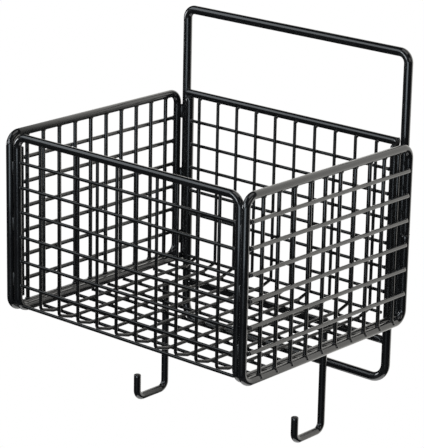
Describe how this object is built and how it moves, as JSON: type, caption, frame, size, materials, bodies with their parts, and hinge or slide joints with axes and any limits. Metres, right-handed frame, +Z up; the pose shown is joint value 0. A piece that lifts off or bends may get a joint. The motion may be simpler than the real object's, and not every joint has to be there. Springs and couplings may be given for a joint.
{
  "type": "hanging wire basket",
  "caption": "Open-top hanging wire basket: round-cornered frame with welded mesh walls and floor, a tall hanger loop behind, a lower loop and J hooks beneath.",
  "frame": {"origin": "the hang point: the middle of the underside of the hanger loop's top bar, where a rail or a wall hook bears", "axes": "+Z is up, +Y points backward to the wall (the front of the basket faces -Y), +X is to the right along the front seen by someone standing in front"},
  "size_m": [0.2202, 0.1796, 0.2757],
  "materials": {
    "black_coat": "glossy black powder coat over steel wire"
  },
  "bodies": {
    "root": {"front_frame": "black_coat", "side_frame_left": "black_coat", "side_frame_right": "black_coat", "hanger_loop": "black_coat", "back_top_bar": "black_coat", "back_loop": "black_coat", "loop_cross_bar": "black_coat", "mesh_wire_01": "black_coat", "mesh_wire_02": "black_coat", "mesh_wire_03": "black_coat", "mesh_wire_04": "black_coat", "mesh_wire_05": "black_coat", "mesh_wire_06": "black_coat", "mesh_wire_07": "black_coat", "mesh_wire_08": "black_coat", "mesh_wire_09": "black_coat", "mesh_wire_10": "black_coat", "edge_wire_left": "black_coat", "edge_wire_right": "black_coat", "front_cross_wire_1": "black_coat", "front_cross_wire_2": "black_coat", "front_cross_wire_3": "black_coat", "front_cross_wire_4": "black_coat", "front_cross_wire_5": "black_coat", "front_cross_wire_6": "black_coat", "back_cross_wire_1": "black_coat", "back_cross_wire_2": "black_coat", "back_cross_wire_3": "black_coat", "back_cross_wire_4": "black_coat", "back_cross_wire_5": "black_coat", "back_cross_wire_6": "black_coat", "front_fold_wire": "black_coat", "back_fold_wire": "black_coat", "floor_cross_wire_1": "black_coat", "floor_cross_wire_2": "black_coat", "floor_cross_wire_3": "black_coat", "floor_cross_wire_4": "black_coat", "floor_cross_wire_5": "black_coat", "floor_cross_wire_6": "black_coat", "floor_cross_wire_7": "black_coat", "floor_cross_wire_8": "black_coat", "floor_cross_wire_9": "black_coat", "side_mesh_left": "black_coat", "side_mesh_right": "black_coat", "hook_left": "black_coat", "hook_right": "black_coat"}
  },
  "joints": []
}
